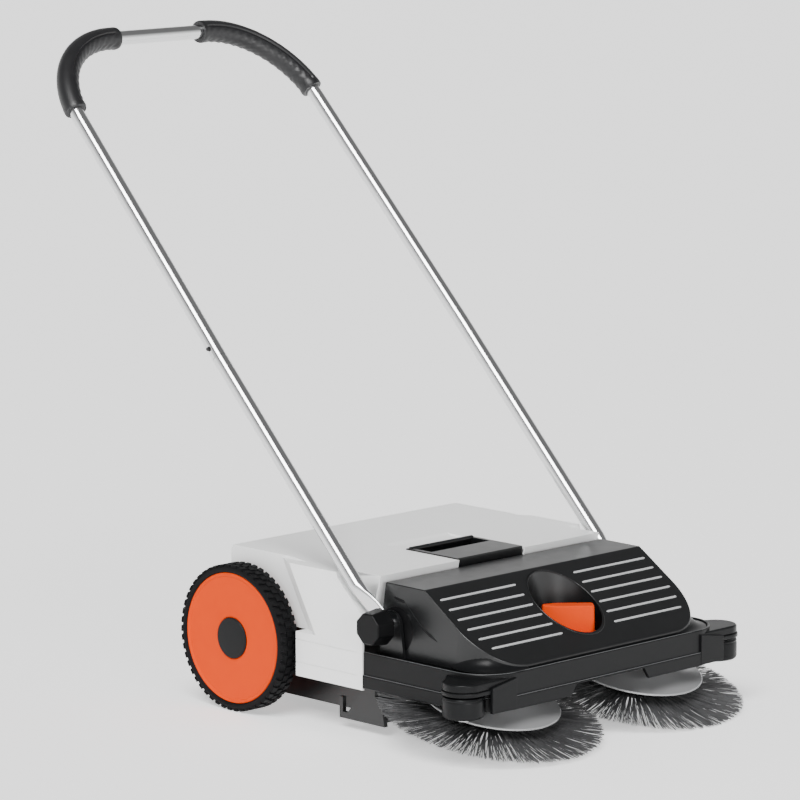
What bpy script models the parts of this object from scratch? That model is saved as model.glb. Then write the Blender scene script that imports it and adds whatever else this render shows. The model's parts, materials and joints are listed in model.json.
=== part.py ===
"""A manual push sweeper with two tilted disc brushes at the front, modelled piece by piece.

Frame: metres, +Z up, the front faces -Y, X across. The origin is at the middle of the
footprint, on the floor. Each wheel turns its own disc brush through a belt and a bevel pair.
"""
import math

import bmesh
import bpy
from mathutils import Matrix, Vector

MM = 0.001
GAP = 0.0003

# Driving places and sizes
AXLE_Y = 0.0413
AXLE_Z = 0.0947
TYRE_R = 0.0947
WHEEL_IN = 0.2100
WHEEL_OUT = 0.2400
BRUSH_X = 0.1316
BRUSH_Y = AXLE_Y - 0.3527
BRUSH_Z = 0.0311
BRUSH_R = 0.1434
BRUSH_TILT = math.radians(12.5)
BEVEL_UP = 0.0900
HANDLE_X = 0.2200
PIVOT = Vector((0.0, AXLE_Y - 0.2520, 0.1458))
HANDLE_RISE = math.radians(46.2)
TUBE_R = 0.0095
TUBE_WALL = 0.0012
SEAM_AT = 0.4200
BUTTON_UP = 0.0150
LEG_TOP_X = 0.2137
BEND_R = 0.1280
TOP_AT = 0.9390
GRIP_FROM = 0.8260
KNOB_Y = AXLE_Y - 0.3570
FORK_Y = AXLE_Y - 0.2520
FORK_Z = 0.0170
PLATE_LOW = 0.0970
PLATE_TOP = 0.1043
COVER_HALF = 0.2000
APRON_HALF = 0.2220
APRON_FRONT = AXLE_Y - 0.4330
APRON_BACK = AXLE_Y - 0.2220
ROLLER = Vector((0.2320, AXLE_Y - 0.4050, 0.0))
BELT_X = (0.1815, 0.1885)
WHEEL_PULLEY_R = 0.0300
FRONT_PULLEY_R = 0.0120

SIDES = (("left", -1.0), ("right", 1.0))

FINISHES = {
    "black_plastic": ((0.020, 0.021, 0.022), 0.42, 0.0),
    "white_plastic": ((0.78, 0.78, 0.76), 0.38, 0.0),
    "orange_plastic": ((0.86, 0.16, 0.02), 0.40, 0.0),
    "rubber": ((0.015, 0.015, 0.015), 0.75, 0.0),
    "bristle": ((0.018, 0.018, 0.019), 0.70, 0.0),
    "steel": ((0.60, 0.60, 0.61), 0.30, 1.0),
    "polished_tube": ((0.80, 0.80, 0.81), 0.18, 1.0),
    "dish_grey": ((0.23, 0.24, 0.25), 0.35, 0.4),
    "foam_grip": ((0.022, 0.022, 0.023), 0.60, 0.0),
}


def clear_scene():
    for obj in list(bpy.data.objects):
        bpy.data.objects.remove(obj)


def finish(name):
    """The Principled material of this name, made once."""
    if name in bpy.data.materials:
        return bpy.data.materials[name]
    colour, rough, metal = FINISHES[name]
    made = bpy.data.materials.new(name)
    made.use_nodes = True
    shader = made.node_tree.nodes["Principled BSDF"]
    shader.inputs["Base Color"].default_value = (*colour, 1.0)
    shader.inputs["Roughness"].default_value = rough
    shader.inputs["Metallic"].default_value = metal
    return made


def collect(obj):
    bpy.context.scene.collection.children["push_sweeper"].objects.link(obj)
    return obj


def from_bmesh(name, bm):
    bmesh.ops.recalc_face_normals(bm, faces=bm.faces)
    mesh = bpy.data.meshes.new(name)
    bm.to_mesh(mesh)
    bm.free()
    return collect(bpy.data.objects.new(name, mesh))


def baked(obj):
    """Replaces an object by a mesh of what it evaluates to, welded at its seams."""
    bpy.context.view_layer.update()
    graph = bpy.context.evaluated_depsgraph_get()
    mesh = bpy.data.meshes.new_from_object(obj.evaluated_get(graph))
    bm = bmesh.new()
    bm.from_mesh(mesh)
    bmesh.ops.remove_doubles(bm, verts=bm.verts, dist=1e-6)
    bm.to_mesh(mesh)
    bm.free()
    name, place = obj.name, obj.matrix_world.copy()
    bpy.data.objects.remove(obj)
    made = collect(bpy.data.objects.new(name, mesh))
    made.name = name
    made.matrix_world = place
    return made


def combine(obj, tools, operation):
    """Joins, cuts or intersects an object with others, which are used up."""
    for tool in tools:
        change = obj.modifiers.new(operation.lower(), "BOOLEAN")
        change.operation = operation
        change.object = tool
        change.solver = "EXACT"
        obj = baked(obj)
        bpy.data.objects.remove(tool)
    return obj


def joined(obj, *tools):
    return combine(obj, tools, "UNION")


def cut(obj, *tools):
    return combine(obj, tools, "DIFFERENCE")


def dressed(obj, name, finish_name, smooth_angle=35.0):
    """Names the finished piece, gives it its material and shades its round sides smooth."""
    obj.name = name
    obj.data.name = name
    obj.data.materials.clear()
    obj.data.materials.append(finish(finish_name))
    obj.data.shade_smooth()
    obj.data.set_sharp_from_angle(angle=math.radians(smooth_angle))
    return obj


def block(low, high):
    """A box between two corners."""
    bm = bmesh.new()
    low, high = Vector(low), Vector(high)
    middle, size = (low + high) / 2, high - low
    bmesh.ops.create_cube(bm, size=1.0, matrix=Matrix.LocRotScale(middle, None, size))
    return from_bmesh("block", bm)


def across(x_low, x_high, y_low, y_high, z_low, z_high, side):
    """A box on the right side, or its mirror image on the left."""
    xs = sorted((side * x_low, side * x_high))
    return block((xs[0], y_low, z_low), (xs[1], y_high, z_high))


def rod(start, end, radius, radius_end=None, sides=16):
    """A cylinder or cone from one point to another."""
    start, end = Vector(start), Vector(end)
    along = end - start
    turn = along.to_track_quat("Z", "Y").to_matrix().to_4x4()
    bm = bmesh.new()
    bmesh.ops.create_cone(
        bm, cap_ends=True, segments=sides, radius1=radius,
        radius2=radius if radius_end is None else radius_end, depth=along.length,
        matrix=Matrix.Translation((start + end) / 2) @ turn)
    return from_bmesh("rod", bm)


def turned(profile, origin, axis, sides=32, closed=True):
    """A profile of (radius, height) points turned about an axis through the origin."""
    points = [Vector((radius, 0.0, height)) for radius, height in profile]
    bm = bmesh.new()
    verts = [bm.verts.new(point) for point in points]
    edges = [bm.edges.new(pair) for pair in zip(verts, verts[1:])]
    if closed:
        edges.append(bm.edges.new((verts[-1], verts[0])))
    mesh = bpy.data.meshes.new("profile")
    bm.to_mesh(mesh)
    bm.free()
    obj = collect(bpy.data.objects.new("turned", mesh))
    screw = obj.modifiers.new("turn", "SCREW")
    screw.axis = "Z"
    screw.steps = sides
    screw.render_steps = sides
    screw.use_merge_vertices = True
    screw.merge_threshold = 0.0001
    screw.use_normal_calculate = True
    obj.matrix_world = Matrix.Translation(origin) @ Vector(axis).to_track_quat("Z", "X").to_matrix().to_4x4()
    obj = baked(obj)
    bm = bmesh.new()
    bm.from_mesh(obj.data)
    bmesh.ops.recalc_face_normals(bm, faces=bm.faces)
    bm.to_mesh(obj.data)
    bm.free()
    return obj


def ring(inner, outer, low, high, origin, axis, sides=24):
    """A plain ring or washer about an axis."""
    profile = [(inner, low), (outer, low), (outer, high), (inner, high)]
    return turned(profile, origin, axis, sides)


def prism(outline, low, high, plane="XY"):
    """A flat outline pushed between two heights: across XY along Z, or across YZ along X."""
    curve = bpy.data.curves.new("outline", "CURVE")
    curve.dimensions = "2D"
    curve.fill_mode = "BOTH"
    curve.extrude = (high - low) / 2
    spline = curve.splines.new("POLY")
    spline.points.add(len(outline) - 1)
    for point, (a, b) in zip(spline.points, outline):
        point.co = (a, b, 0.0, 1.0)
    spline.use_cyclic_u = True
    obj = collect(bpy.data.objects.new("prism", curve))
    middle = (low + high) / 2
    if plane == "XY":
        obj.matrix_world = Matrix.Translation((0.0, 0.0, middle))
    else:
        upright = Matrix(((0, 0, 1, 0), (1, 0, 0, 0), (0, 1, 0, 0), (0, 0, 0, 1)))
        obj.matrix_world = Matrix.Translation((middle, 0.0, 0.0)) @ upright
    return baked(obj)


def arc(cx, cy, radius, start, end, steps=8):
    """Points on a circle between two angles in degrees."""
    angles = [math.radians(start + (end - start) * i / steps) for i in range(steps + 1)]
    return [(cx + radius * math.cos(a), cy + radius * math.sin(a)) for a in angles]


def front_rounded(half, front, back, radius, steps=6):
    """A plan outline with square rear corners and rounded front corners."""
    left = arc(-half + radius, front + radius, radius, 180, 270, steps)
    right = arc(half - radius, front + radius, radius, 270, 360, steps)
    return [(-half, back)] + left + right + [(half, back)]


def tube(route, radius, wall, detail=2):
    """A hollow tube along a route of points."""
    curve = bpy.data.curves.new("tube", "CURVE")
    curve.dimensions = "3D"
    curve.bevel_depth = radius
    curve.bevel_resolution = detail
    curve.use_fill_caps = False
    spline = curve.splines.new("POLY")
    spline.points.add(len(route) - 1)
    for point, place in zip(spline.points, route):
        point.co = (*place, 1.0)
    obj = baked(collect(bpy.data.objects.new("tube", curve)))
    bm = bmesh.new()
    bm.from_mesh(obj.data)
    bmesh.ops.recalc_face_normals(bm, faces=bm.faces)
    bm.to_mesh(obj.data)
    bm.free()
    thick = obj.modifiers.new("wall", "SOLIDIFY")
    thick.thickness = wall
    thick.offset = -1.0
    return baked(obj)


def on_handle(x, along, out=0.0):
    """A point in the handle's own plane: across, up the tube from the pivot, and off it."""
    up = Vector((0.0, math.cos(HANDLE_RISE), math.sin(HANDLE_RISE)))
    off = Vector((0.0, -math.sin(HANDLE_RISE), math.cos(HANDLE_RISE)))
    return PIVOT + Vector((x, 0.0, 0.0)) + up * along + off * out


def brush_frame(side):
    """The centre of a brush disc and the direction of its tilted shaft."""
    centre = Vector((side * BRUSH_X, BRUSH_Y, BRUSH_Z))
    shaft = Vector((0.0, -math.sin(BRUSH_TILT), math.cos(BRUSH_TILT)))
    return centre, shaft


# Covers and frame

def slope_profile(inset):
    """The front cover's side outline, moved inwards by a wall thickness."""
    t = inset
    return [
        (AXLE_Y - 0.2250 - t, 0.1046 - 2 * t), (AXLE_Y - 0.2360 - t, 0.1960 - t),
        (AXLE_Y - 0.3035 + 0.3 * t, 0.1955 - t), (AXLE_Y - 0.4230 + 0.8 * t, 0.1145 - 0.9 * t),
        (AXLE_Y - 0.4250 + t, 0.1120 - t), (AXLE_Y - 0.4250 + t, 0.1046 - 2 * t)]


def cover_solid(inset):
    outline = front_rounded(
        COVER_HALF - inset, AXLE_Y - 0.4250 + inset, AXLE_Y - 0.2200, 0.0650 - inset)
    plan = prism(outline, 0.0900, 0.2100)
    side = prism(slope_profile(inset), -0.2300, 0.2300, "YZ")
    return combine(side, [plan], "INTERSECT")


def front_cover():
    """The black cover: flat top, sloping front, and a round bowl for the height knob."""
    wall = 3.0 * MM
    bowl_r = 0.0455
    low, high = (0.0, KNOB_Y, 0.1120), (0.0, KNOB_Y, 0.2100)
    cup = combine(rod(low, high, bowl_r + 2.5 * MM, sides=32), [cover_solid(0.0)], "INTERSECT")
    shell = cut(cover_solid(0.0), cover_solid(wall))
    shell = joined(shell, cup)
    floor = (0.0, KNOB_Y, 0.1160)
    shell = cut(shell, rod(floor, high, bowl_r, sides=32))
    shell = cut(shell, rod((0.0, KNOB_Y, 0.1050), high, 5.3 * MM))
    for _, side in SIDES:
        y_back = AXLE_Y - 0.2180
        shell = cut(shell, across(0.1700, 0.1960, AXLE_Y - 0.2500, y_back, 0.0900, 0.1400, side))
    return dressed(shell, "front_cover", "black_plastic")


def front_apron():
    """The bumper band round the front, with an ear over each guide roller."""
    wall = 3.5 * MM
    outer = front_rounded(APRON_HALF, APRON_FRONT, APRON_BACK, 0.0550)
    inner = front_rounded(APRON_HALF - wall, APRON_FRONT + wall, APRON_BACK + 0.02, 0.0515)
    band = cut(prism(outer, 0.0630, 0.1090), prism(inner, 0.0500, 0.1200))
    notch = [(-0.0620, 0.0775), (0.0620, 0.0775), (0.0740, 0.0600), (-0.0740, 0.0600)]
    notch_cut = prism([(x, z) for x, z in notch], 0.0, 0.0400)
    stand = Matrix(((1, 0, 0, 0), (0, 0, -1, 0), (0, 1, 0, 0), (0, 0, 0, 1)))
    notch_cut.matrix_world = Matrix.Translation((0.0, APRON_FRONT + 0.02, 0.0)) @ stand
    band = cut(band, baked(notch_cut))
    for _, side in SIDES:
        x = side * ROLLER.x
        band = cut(band, rod((x, ROLLER.y, 0.0400), (x, ROLLER.y, 0.0890), 0.0285, sides=24))
        ear = rod((x, ROLLER.y, 0.0885), (x, ROLLER.y, 0.1020), 0.0270, sides=20)
        arm = across(0.1900, 0.2450, ROLLER.y - 0.0120, ROLLER.y + 0.0260, 0.0895, 0.1010, side)
        room = front_rounded(APRON_HALF - 2 * MM, APRON_FRONT + 2 * MM, APRON_BACK + 0.02, 0.0530)
        ear = cut(joined(ear, arm), prism(room, 0.0500, 0.1200))
        hole = rod((x, ROLLER.y, 0.0760), (x, ROLLER.y, 0.0960), 4.3 * MM)
        band = cut(joined(band, ear), hole)
    return dressed(band, "front_apron", "black_plastic")


def chassis_plate():
    """The deck that carries the brush bearings, the drive and the covers."""
    outline = front_rounded(APRON_HALF - 4 * MM, APRON_FRONT + 4 * MM, APRON_BACK - 2 * MM, 0.0510)
    plate = prism(outline, PLATE_LOW, PLATE_TOP)
    plate = cut(plate, rod((0, KNOB_Y, 0.08), (0, KNOB_Y, 0.12), 5.3 * MM))
    plate = cut(plate, rod((0, FORK_Y, 0.08), (0, FORK_Y, 0.12), 8.3 * MM))
    for _, side in SIDES:
        centre, shaft = brush_frame(side)
        plate = cut(plate, rod(centre + shaft * 0.05, centre + shaft * 0.09, 14.6 * MM))
        slot_front = AXLE_Y - 0.3840
        plate = cut(plate, across(0.1800, 0.1900, slot_front, AXLE_Y - 0.2150, 0.08, 0.12, side))
        plate = joined(plate, pivot_lug(side), drive_bearing(side))
    return dressed(plate, "chassis_plate", "black_plastic")


def arm_outline(inset):
    """A side arm seen from the side: round about the axle, straight to the chassis."""
    radius = 0.0430 - inset
    rear = arc(AXLE_Y, AXLE_Z, radius, -90, 90, 10)
    front = AXLE_Y - 0.2210 + inset
    return rear + [
        (front, 0.1360 - inset), (front, 0.0740 + inset), (front + 0.0100, 0.0600 + inset)]


def side_arm(name, side):
    """A casing arm that holds the wheel's axle stub and houses the belt."""
    web, rim = (0.1743, 0.1780), 0.1955
    lows = sorted((side * web[0], side * rim))
    arm = prism(arm_outline(0.0), lows[0], lows[1], "YZ")
    hollow = sorted((side * web[1], side * (rim + 0.01)))
    arm = cut(arm, prism(arm_outline(3.0 * MM), hollow[0], hollow[1], "YZ"))
    mouth = across(0.1784, 0.2100, AXLE_Y - 0.2300, AXLE_Y - 0.2100, 0.0800, 0.1330, side)
    arm = cut(arm, mouth)
    tongue = across(0.1746, 0.1776, AXLE_Y - 0.2650, AXLE_Y - 0.2150, 0.0780, PLATE_LOW - GAP, side)
    arm = joined(arm, tongue)
    boss = rod((side * 0.1770, AXLE_Y, AXLE_Z), (side * 0.1812, AXLE_Y, AXLE_Z), 0.0140, sides=24)
    arm = joined(arm, boss)
    bore = rod((side * 0.1600, AXLE_Y, AXLE_Z), (side * 0.2000, AXLE_Y, AXLE_Z), 8.35 * MM, sides=24)
    return dressed(cut(arm, bore), name, "black_plastic")


def dirt_ramp():
    """The low ramp behind the brushes, with a cheek and a hook for the hopper at each end."""
    low, high = 0.0130, 0.0160
    y_front, y_back = AXLE_Y - 0.2240, AXLE_Y - 0.1770
    ramp = block((-0.2010, y_front, low), (0.2010, y_back, high))
    hook = [
        (AXLE_Y - 0.2400, low), (AXLE_Y - 0.1600, low), (AXLE_Y - 0.1600, 0.0400),
        (AXLE_Y - 0.1660, 0.0400), (AXLE_Y - 0.1660, 0.0210), (AXLE_Y - 0.1740, 0.0210),
        (AXLE_Y - 0.1960, 0.0460), (AXLE_Y - 0.1990, 0.0620), (AXLE_Y - 0.1990, PLATE_LOW - GAP),
        (AXLE_Y - 0.2350, PLATE_LOW - GAP), (AXLE_Y - 0.2350, 0.0800),
        (AXLE_Y - 0.2230, 0.0760), (AXLE_Y - 0.2230, 0.0500), (AXLE_Y - 0.2350, 0.0400)]
    for _, side in SIDES:
        xs = sorted((side * 0.1970, side * 0.2030))
        ramp = joined(ramp, prism(hook, xs[0], xs[1], "YZ"))
    return dressed(ramp, "dirt_ramp", "black_plastic")


def pivot_lug(side):
    """The lug beside the cover that carries a handle pivot bolt."""
    foot = PLATE_TOP - 1 * MM
    y, z = PIVOT.y, PIVOT.z
    outline = [(y + 0.0180, foot), (y - 0.0240, foot)] + arc(y, z, 0.0180, 180, 0, 10)
    xs = sorted((side * 0.2005, side * 0.2050))
    lug = prism(outline, xs[0], xs[1], "YZ")
    return cut(lug, rod((side * 0.19, y, z), (side * 0.21, y, z), 4.3 * MM))


def brush_bearing(name, side):
    """The tilted bush in the deck that a brush shaft runs in."""
    centre, shaft = brush_frame(side)
    inner, outer, flange = 5.3 * MM, 14.0 * MM, 19.0 * MM
    profile = [
        (inner, 0.0540), (flange, 0.0540), (flange, 0.0590), (outer, 0.0590),
        (outer, 0.0780), (inner, 0.0780)]
    return dressed(turned(profile, centre, shaft, 16), name, "black_plastic")


def drive_bearing(side):
    """The block on the deck that a drive shaft runs in."""
    centre, shaft = brush_frame(side)
    axis = centre + shaft * BEVEL_UP
    foot = PLATE_TOP - 1 * MM
    outline = [(axis.y + 0.0085, foot), (axis.y - 0.0085, foot)]
    outline += arc(axis.y, axis.z, 0.0085, 180, 0, 8)
    xs = sorted((side * 0.1660, side * 0.1780))
    body = prism(outline, xs[0], xs[1], "YZ")
    return cut(body, rod((side * 0.15, axis.y, axis.z), (side * 0.19, axis.y, axis.z), 4.3 * MM))


def belt_side(front, radius_front, radius_back):
    """A belt's outline round two pulleys, as seen from the side."""
    back = Vector((AXLE_Y, AXLE_Z))
    along = back - front
    lean = math.degrees(math.atan2(along.y, along.x))
    spread = math.degrees(math.acos((radius_front - radius_back) / along.length))
    rear = arc(back.x, back.y, radius_back, lean - 180 + spread, lean + 180 - spread, 14)
    nose = arc(front.x, front.y, radius_front, lean + 180 - spread, lean + 180 + spread, 10)
    return rear + nose


def drive_belt(name, side):
    """The flat belt from the wheel's pulley to the drive shaft's pulley."""
    centre, shaft = brush_frame(side)
    axis = centre + shaft * BEVEL_UP
    front = Vector((axis.y, axis.z))
    near, far = GAP, 2.3 * MM
    xs = sorted((side * (BELT_X[0] + 1.0 * MM), side * (BELT_X[1] - 1.0 * MM)))
    outer = prism(belt_side(front, FRONT_PULLEY_R + far, WHEEL_PULLEY_R + far), xs[0], xs[1], "YZ")
    inner = prism(
        belt_side(front, FRONT_PULLEY_R + near, WHEEL_PULLEY_R + near), -0.25, 0.25, "YZ")
    return dressed(cut(outer, inner), name, "rubber")


# Wheels

def wheel(label, side):
    """A road wheel: disc with hub, tyre, belt pulley and cap, on a fixed axle stub."""
    origin, axis = (0.0, AXLE_Y, AXLE_Z), (side, 0.0, 0.0)
    bore, hub = 8.3 * MM, 15.0 * MM
    disc = [
        (bore, 0.1888), (hub, 0.1888), (hub, 0.2310), (0.0790, 0.2310), (0.0790, 0.2140),
        (0.0836, 0.2140), (0.0836, 0.2385), (0.0140, 0.2375), (0.0140, 0.2325), (bore, 0.2325)]
    dressed(turned(disc, origin, axis, 32), f"wheel_{label}_disc", "orange_plastic")
    tyre = [
        (0.0840, WHEEL_IN + 2 * MM), (TYRE_R - 3 * MM, WHEEL_IN), (TYRE_R, WHEEL_IN + 3 * MM),
        (TYRE_R, WHEEL_OUT - 3 * MM), (TYRE_R - 3 * MM, WHEEL_OUT), (0.0840, WHEEL_OUT - 1 * MM)]
    dressed(turned(tyre, origin, axis, 32), f"wheel_{label}_tyre", "rubber")
    pulley = ring(bore, WHEEL_PULLEY_R, *BELT_X, origin, axis, 24)
    dressed(pulley, f"wheel_{label}_pulley", "black_plastic")
    cap = [(0.0, 0.2378), (0.0260, 0.2378), (0.0260, 0.2395), (0.0240, 0.2410), (0.0, 0.2415)]
    cap_part = turned(cap, origin, axis, 24, closed=False)
    dressed(cap_part, f"wheel_{label}_cap", "black_plastic")
    stub = rod((side * 0.1746, AXLE_Y, AXLE_Z), (side * 0.2365, AXLE_Y, AXLE_Z), 8.0 * MM, sides=24)
    dressed(stub, f"axle_{label}", "steel")
    clip = ring(8.3 * MM, 12.5 * MM, 0.2334, 0.2346, origin, axis, 16)
    dressed(clip, f"axle_{label}_clip", "steel")


# Brushes

def brush(label, side):
    """A disc brush with its dish, core, shaft, bevel gear and bolt."""
    centre, shaft = brush_frame(side)
    reach = 2 * BRUSH_X - BRUSH_R - 0.4 * MM
    thick, rim, low, high = 0.0095, 0.0064, 0.0030, 0.0033
    if side < 0:
        edge = [(reach, 0.0), (reach, high), (BRUSH_R, high), (BRUSH_R, rim)]
    else:
        edge = [(BRUSH_R, 0.0), (BRUSH_R, low), (reach, low), (reach, rim)]
    profile = [(0.0460, 0.0)] + edge + [(0.0460, thick)]
    dressed(turned(profile, centre, shaft, 32), f"brush_{label}_bristles", "bristle")
    flare = [
        (0.0850, 0.0240), (0.0600, 0.0295), (0.0380, 0.0390), (0.0230, 0.0500),
        (0.0105, 0.0500), (0.0105, 0.0475), (0.0205, 0.0475), (0.0365, 0.0360),
        (0.0590, 0.0265), (0.0845, 0.0215)]
    dressed(turned(flare, centre, shaft, 24), f"brush_{label}_dish", "dish_grey")
    core = [
        (5.3 * MM, 0.0), (0.0457, 0.0), (0.0457, 0.0090), (0.0160, 0.0090), (0.0102, 0.0180),
        (0.0102, 0.0520), (5.3 * MM, 0.0520)]
    dressed(turned(core, centre, shaft, 16), f"brush_{label}_core", "black_plastic")
    slim = 0.35 * MM
    tip, face, back = BEVEL_UP + 0.0053 + slim, BEVEL_UP + 0.0100 + slim, BEVEL_UP + 0.0130
    spindle = [
        (0.0, GAP), (0.0050, GAP), (0.0050, tip), (0.0080, tip), (0.0150, face),
        (0.0150, back), (0.0, back)]
    part = turned(spindle, centre, shaft, 20, closed=False)
    dressed(part, f"brush_{label}_shaft", "steel")
    bolt = rod(centre - shaft * 0.0060, centre - shaft * GAP, 8.0 * MM, sides=6)
    dressed(bolt, f"brush_{label}_bolt", "steel")


def drive_shaft(label, side):
    """The cross shaft with the belt's front pulley and the small bevel gear."""
    centre, shaft = brush_frame(side)
    apex = centre + shaft * BEVEL_UP
    axis = (side, 0.0, 0.0)
    origin = (0.0, apex.y, apex.z)
    slim = 0.35 * MM
    near, far = BRUSH_X + 0.0080 + slim, BRUSH_X + 0.0150 + slim
    spindle = [
        (0.0, near), (0.0053, near), (0.0100, far), (0.0100, far + 0.0040),
        (0.0040, far + 0.0040), (0.0040, 0.1905), (0.0, 0.1905)]
    part = turned(spindle, origin, axis, 16, closed=False)
    dressed(part, f"drive_{label}_shaft", "steel")
    pulley = ring(4.3 * MM, FRONT_PULLEY_R, *BELT_X, origin, axis, 16)
    dressed(pulley, f"drive_{label}_pulley", "black_plastic")


# Height adjuster and support roller

def height_adjuster():
    """The orange knob in the bowl and the screw that it turns."""
    base, top = 0.1165, 0.1225
    disc = rod((0, KNOB_Y, base), (0, KNOB_Y, top), 0.0400, 0.0385, 32)
    bar = block((-0.0335, -0.0110, top - 1 * MM), (0.0335, 0.0110, 0.1565))
    bar.matrix_world = Matrix.Translation((0, KNOB_Y, 0)) @ Matrix.Rotation(math.radians(-42), 4, "Z")
    bar = baked(bar)
    bevel = bar.modifiers.new("edges", "BEVEL")
    bevel.width = 4 * MM
    bevel.segments = 2
    bar = baked(bar)
    knob = joined(disc, bar)
    knob = cut(knob, rod((0, KNOB_Y, 0.10), (0, KNOB_Y, 0.1400), 5.3 * MM))
    dressed(knob, "height_knob", "orange_plastic")
    dressed(rod((0, KNOB_Y, 0.0640), (0, KNOB_Y, 0.1395), 5.0 * MM), "height_screw", "steel")


def support_fork():
    """The cast yoke that the screw raises, ending in the support roller's fork."""
    y = FORK_Y
    yoke = block((-0.0140, KNOB_Y - 0.0130, 0.0820), (0.0140, y + 0.0120, 0.0870))
    hub = rod((0, KNOB_Y, 0.0760), (0, KNOB_Y, 0.0880), 0.0110)
    stem = rod((0, y, 0.0400), (0, y, 0.1120), 8.0 * MM)
    crown = block((-0.0190, y - 0.0130, 0.0370), (0.0190, y + 0.0130, 0.0420))
    fork = joined(yoke, hub, stem, crown)
    for _, side in SIDES:
        fork = joined(fork, across(0.0145, 0.0190, y - 0.0100, y + 0.0100, 0.0090, 0.0390, side))
    fork = cut(fork, rod((0, KNOB_Y, 0.07), (0, KNOB_Y, 0.10), 5.3 * MM))
    fork = cut(fork, rod((-0.03, y, FORK_Z), (0.03, y, FORK_Z), 3.3 * MM))
    dressed(fork, "support_fork", "black_plastic")
    dressed(rod((-0.0200, y, FORK_Z), (0.0200, y, FORK_Z), 3.0 * MM), "support_axle", "steel")
    profile = [
        (3.3 * MM, -0.0138), (0.0155, -0.0138), (0.0170, -0.0120), (0.0170, 0.0120),
        (0.0155, 0.0138), (3.3 * MM, 0.0138)]
    roller = turned(profile, (0, y, FORK_Z), (1, 0, 0), 16)
    dressed(roller, "support_roller", "rubber")


def guide_roller(label, side):
    """A wall guide roller under a front corner, on its fixed pin."""
    x, y = side * ROLLER.x, ROLLER.y
    profile = [
        (4.3 * MM, 0.0590), (0.0240, 0.0590), (0.0262, 0.0615), (0.0262, 0.0840),
        (0.0245, 0.0860), (4.3 * MM, 0.0860)]
    roller = turned(profile, (x, y, 0.0), (0, 0, 1), 20)
    dressed(roller, f"guide_roller_{label}", "black_plastic")
    pin = rod((x, y, 0.0550), (x, y, 0.0955), 4.0 * MM, sides=12)
    head = rod((x, y, 0.0550), (x, y, 0.0585), 8.0 * MM, sides=12)
    dressed(joined(pin, head), f"guide_pin_{label}", "steel")


# Hopper

def hopper_hood():
    """The white hood: a narrow rear between the wheels and a wider front."""
    t = 3.0 * MM
    y = AXLE_Y
    top, front_top = 0.2070, 0.2030
    rear = prism(
        [(y - 0.1000, 0.1165), (y - 0.0500, 0.1165), (y - 0.0500, 0.1416),
         (y + 0.0400, 0.1416), (y + 0.0370, top - 4 * MM),
         (y + 0.0330, top), (y - 0.1000, top)], -0.2030, 0.2030, "YZ")
    flare = prism(
        [(y - 0.2205, 0.0600), (y - 0.2205, 0.1540), (y - 0.1760, 0.1960), (y - 0.1740, front_top),
         (y - 0.0890, front_top), (y - 0.1370, 0.1170), (y - 0.1010, 0.1170), (y - 0.1010, 0.0600)],
        -0.2220, 0.2220, "YZ")
    deck = prism(
        [(y - 0.2180, 0.1500), (y - 0.2300, front_top), (y - 0.0900, front_top),
         (y - 0.0900, 0.1500)], -0.1990, 0.1990, "YZ")
    hood = joined(rear, flare, deck)
    room_rear = block((-0.2000, y - 0.0970, 0.1200), (0.2000, y + 0.0340, top - t))
    room_middle = block((-0.1993, y - 0.1600, 0.1210), (0.1993, y - 0.0950, front_top - t - 0.2 * MM))
    room_flare = prism(
        [(y - 0.2210, 0.0500), (y - 0.2210, 0.1490), (y - 0.1744, 0.1925), (y - 0.1712, front_top - t),
         (y - 0.0941, front_top - t), (y - 0.1421, 0.1140), (y - 0.1040, 0.1140), (y - 0.1040, 0.0500)],
        -0.2190, 0.2190, "YZ")
    room_deck = prism(
        [(y - 0.2148, 0.1400), (y - 0.2270, front_top - t), (y - 0.0900, front_top - t),
         (y - 0.0900, 0.1400)], -0.1960, 0.1960, "YZ")
    mouth = block((-0.2190, y - 0.2300, 0.0500), (0.2190, y - 0.1600, 0.1490))
    seat = block((-0.0580, y - 0.2240, 0.1900), (0.0580, y - 0.1340, 0.2200))
    passage = block((-0.1985, y - 0.2120, 0.0450), (0.1985, y - 0.0450, 0.1414))
    hood = cut(hood, room_rear, room_middle, room_flare, room_deck, mouth, passage, seat)
    return dressed(hood, "hopper_hood", "white_plastic")


def hopper_tray():
    """The black dirt tray between the side arms, open at its front."""
    y = AXLE_Y
    half = 0.1735
    outline = [(y - 0.1700, 0.0180), (y + 0.0100, 0.0180), (y + 0.0380, 0.0400),
               (y + 0.0380, 0.1412), (y - 0.1700, 0.1412)]
    room = [(y - 0.1800, 0.0205), (y + 0.0085, 0.0205), (y + 0.0355, 0.0412),
            (y + 0.0355, 0.1500), (y - 0.1800, 0.1500)]
    tray = cut(prism(outline, -half, half, "YZ"), prism(room, -half + 2.5 * MM, half - 2.5 * MM, "YZ"))
    for _, side in SIDES:
        rim = across(half - 1 * MM, 0.1980, y - 0.0950, y + 0.0380, 0.1384, 0.1412, side)
        tray = joined(tray, rim)
    return dressed(tray, "hopper_tray", "black_plastic")


def grip_insert():
    """The black insert in the hood's top, with a finger slot to lift the hopper by."""
    y = AXLE_Y
    flange = block((-0.0600, y - 0.2260, 0.2033), (0.0600, y - 0.1320, 0.2053))
    tub = block((-0.0577, y - 0.1720, 0.1700), (0.0577, y - 0.1343, 0.2040))
    insert = joined(tub, flange)
    slot = block((-0.0540, y - 0.1680, 0.1725), (0.0540, y - 0.1380, 0.2200))
    insert = cut(insert, slot)
    return dressed(insert, "grip_insert", "black_plastic")


# Handle

def leg_x(along):
    """How far out an upper leg's centre line is: the legs lean in a little towards the top."""
    lean = (HANDLE_X - LEG_TOP_X) / (TOP_AT - BEND_R - SEAM_AT)
    return HANDLE_X - lean * (along - SEAM_AT)


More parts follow.
